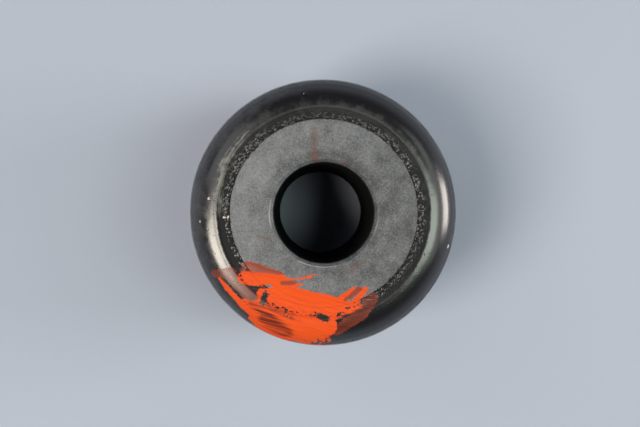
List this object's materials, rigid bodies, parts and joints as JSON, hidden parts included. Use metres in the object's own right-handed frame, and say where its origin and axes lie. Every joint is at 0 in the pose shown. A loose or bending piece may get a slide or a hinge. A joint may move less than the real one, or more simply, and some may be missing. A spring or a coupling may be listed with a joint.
{
  "type": "control arm bushing",
  "caption": "Round rubber control arm bushing moulded round a thick steel sleeve, with rounded rims, a plain through bore for the pivot bolt and a dab of orange marking paint on one end.",
  "frame": {"origin": "centre of the bore on the plane of the sleeve's lower end face", "axes": "+Z along the bore's axis, from the lower end face to the upper one, which carries the paint mark; -Y towards the paint mark"},
  "size_m": [0.044, 0.044, 0.034],
  "materials": {
    "sleeve_steel": "blasted and phosphated, matte grey, with a bright turned chamfer at the bore",
    "moulded_rubber": "moulded black rubber, glossy rim with a faint bloom, torn flash at the sleeve"
  },
  "bodies": {
    "root": {"inner_sleeve": "sleeve_steel", "rubber_body": "moulded_rubber"}
  },
  "joints": []
}
